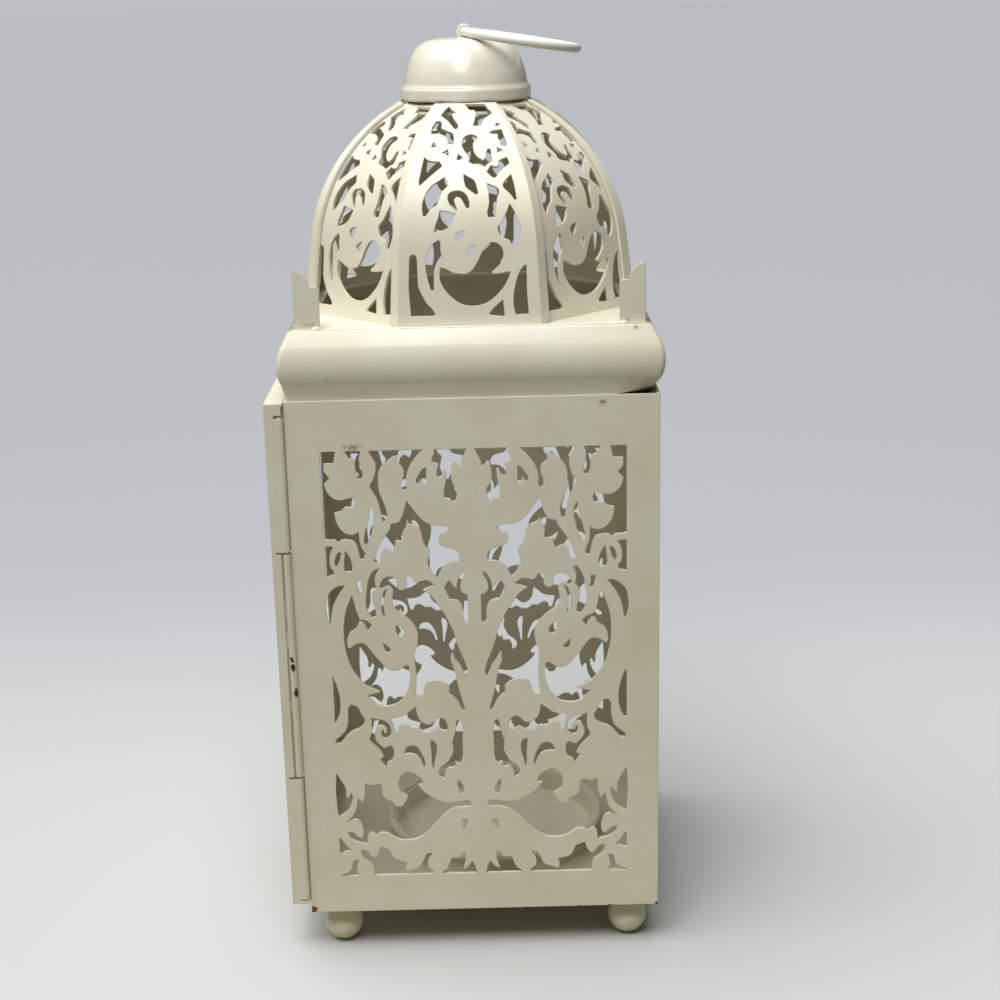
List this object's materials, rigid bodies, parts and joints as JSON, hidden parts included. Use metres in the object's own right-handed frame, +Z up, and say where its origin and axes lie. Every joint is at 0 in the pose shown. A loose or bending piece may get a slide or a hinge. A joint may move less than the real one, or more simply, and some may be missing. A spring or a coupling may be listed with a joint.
{
  "type": "candle lantern",
  "caption": "Square pierced-metal candle lantern with a hinged side door, a half-round cornice, a faceted pierced dome, a spun cap and a swinging carrying ring, on ball feet.",
  "frame": {"origin": "on the floor that the feet stand on, under the middle of the square body", "axes": "+Z up; the front faces -Y; the door is on the -X side, hinged at its front edge"},
  "size_m": [0.1279, 0.1241, 0.3102],
  "materials": {
    "ivory_paint": "satin",
    "worn_steel": "satin"
  },
  "bodies": {
    "lantern": {"base_plate": "ivory_paint", "foot_front_left": "ivory_paint", "foot_front_right": "ivory_paint", "foot_rear_left": "ivory_paint", "foot_rear_right": "ivory_paint", "foot_screws": "worn_steel", "front_panel": "ivory_paint", "right_panel": "ivory_paint", "rear_panel": "ivory_paint", "jamb_front": "ivory_paint", "jamb_rear": "ivory_paint", "door_sill": "ivory_paint", "door_head": "ivory_paint", "body_knuckle": "ivory_paint", "latch_stud": "worn_steel", "cornice_front": "ivory_paint", "cornice_right": "ivory_paint", "cornice_rear": "ivory_paint", "cornice_left": "ivory_paint", "top_plate": "ivory_paint", "finial_front_left": "ivory_paint", "finial_front_right": "ivory_paint", "finial_rear_left": "ivory_paint", "finial_rear_right": "ivory_paint", "petal_front": "ivory_paint", "petal_front_right": "ivory_paint", "petal_right": "ivory_paint", "petal_rear_right": "ivory_paint", "petal_rear": "ivory_paint", "petal_rear_left": "ivory_paint", "petal_left": "ivory_paint", "petal_front_left": "ivory_paint", "dome_collar": "ivory_paint", "cap": "ivory_paint", "cap_eye": "ivory_paint", "eye_nut": "worn_steel", "candle_dish": "ivory_paint"},
    "door": {"door_panel": "ivory_paint", "door_flange_top": "ivory_paint", "door_flange_low": "ivory_paint", "door_flange_free": "ivory_paint", "door_flange_hinge": "ivory_paint", "door_knuckle_top": "ivory_paint", "door_knuckle_low": "ivory_paint", "hinge_pin": "worn_steel", "latch_pivot": "worn_steel"},
    "latch": {"latch_hook": "worn_steel"},
    "ring": {"carry_ring": "ivory_paint"}
  },
  "joints": [
    {"name": "door_hinge", "type": "hinge", "parent": "lantern", "child": "door", "pos_m": [-0.0616, -0.0604, 0.1], "axis": [0, 0, 1], "range_deg": [0, 140]},
    {"name": "latch_swing", "type": "hinge", "parent": "door", "child": "latch", "pos_m": [-0.0639, 0.06105, 0.11], "axis": [0, -1, 0], "range_deg": [-90, 90]},
    {"name": "ring_swing", "type": "hinge", "parent": "lantern", "child": "ring", "pos_m": [0, 0, 0.3077], "axis": [0, -1, 0], "range_deg": [0, 161.2]}
  ]
}
